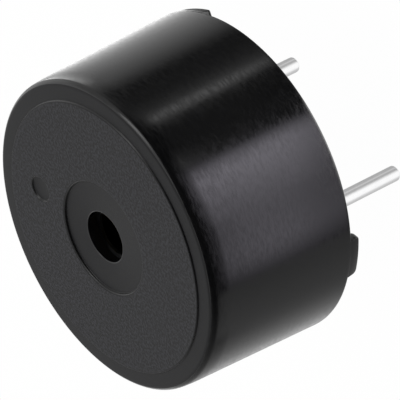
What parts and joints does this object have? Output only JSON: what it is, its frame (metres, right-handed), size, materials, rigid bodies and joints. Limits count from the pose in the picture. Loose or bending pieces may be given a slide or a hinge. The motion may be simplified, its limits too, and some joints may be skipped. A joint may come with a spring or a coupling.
{
  "type": "piezo buzzer",
  "caption": "Round black piezo buzzer with a sound hole in its front, standoff tabs round its rear rim and straight solder pins for a circuit board.",
  "frame": {"origin": "on the buzzer's axis, in the plane of the standoff tabs' undersides, which is the board's face", "axes": "+Z along the axis and out of the sound hole, X through the two pins, -Z down the pins"},
  "size_m": [0.021, 0.021, 0.0194],
  "materials": {
    "case_plastic": "black moulded plastic, spark-textured on the raised disc and smooth on the side",
    "plate_plastic": "black moulded plastic, fine texture",
    "epoxy": "dark potting epoxy, glossy",
    "tin_plate": "bright tin plating on drawn brass wire",
    "silicone": "white silicone adhesive, satin",
    "brass": "rolled brass sheet, satin",
    "ceramic": "fired piezo ceramic, matt",
    "silver": "fired silver print, matt",
    "tinned_wire": "tinned copper wire",
    "solder": "flowed solder, satin"
  },
  "bodies": {
    "root": {"case": "case_plastic", "base_plate": "plate_plastic", "sealing_bead": "epoxy", "pin_left": "tin_plate", "pin_right": "tin_plate", "adhesive_ring": "silicone", "diaphragm": "brass", "piezo_ceramic": "ceramic", "silver_electrode": "silver", "lead_left": "tinned_wire", "lead_right": "tinned_wire", "solder_pin_left": "solder", "solder_pin_right": "solder", "solder_plate": "solder", "solder_electrode": "solder"}
  },
  "joints": []
}
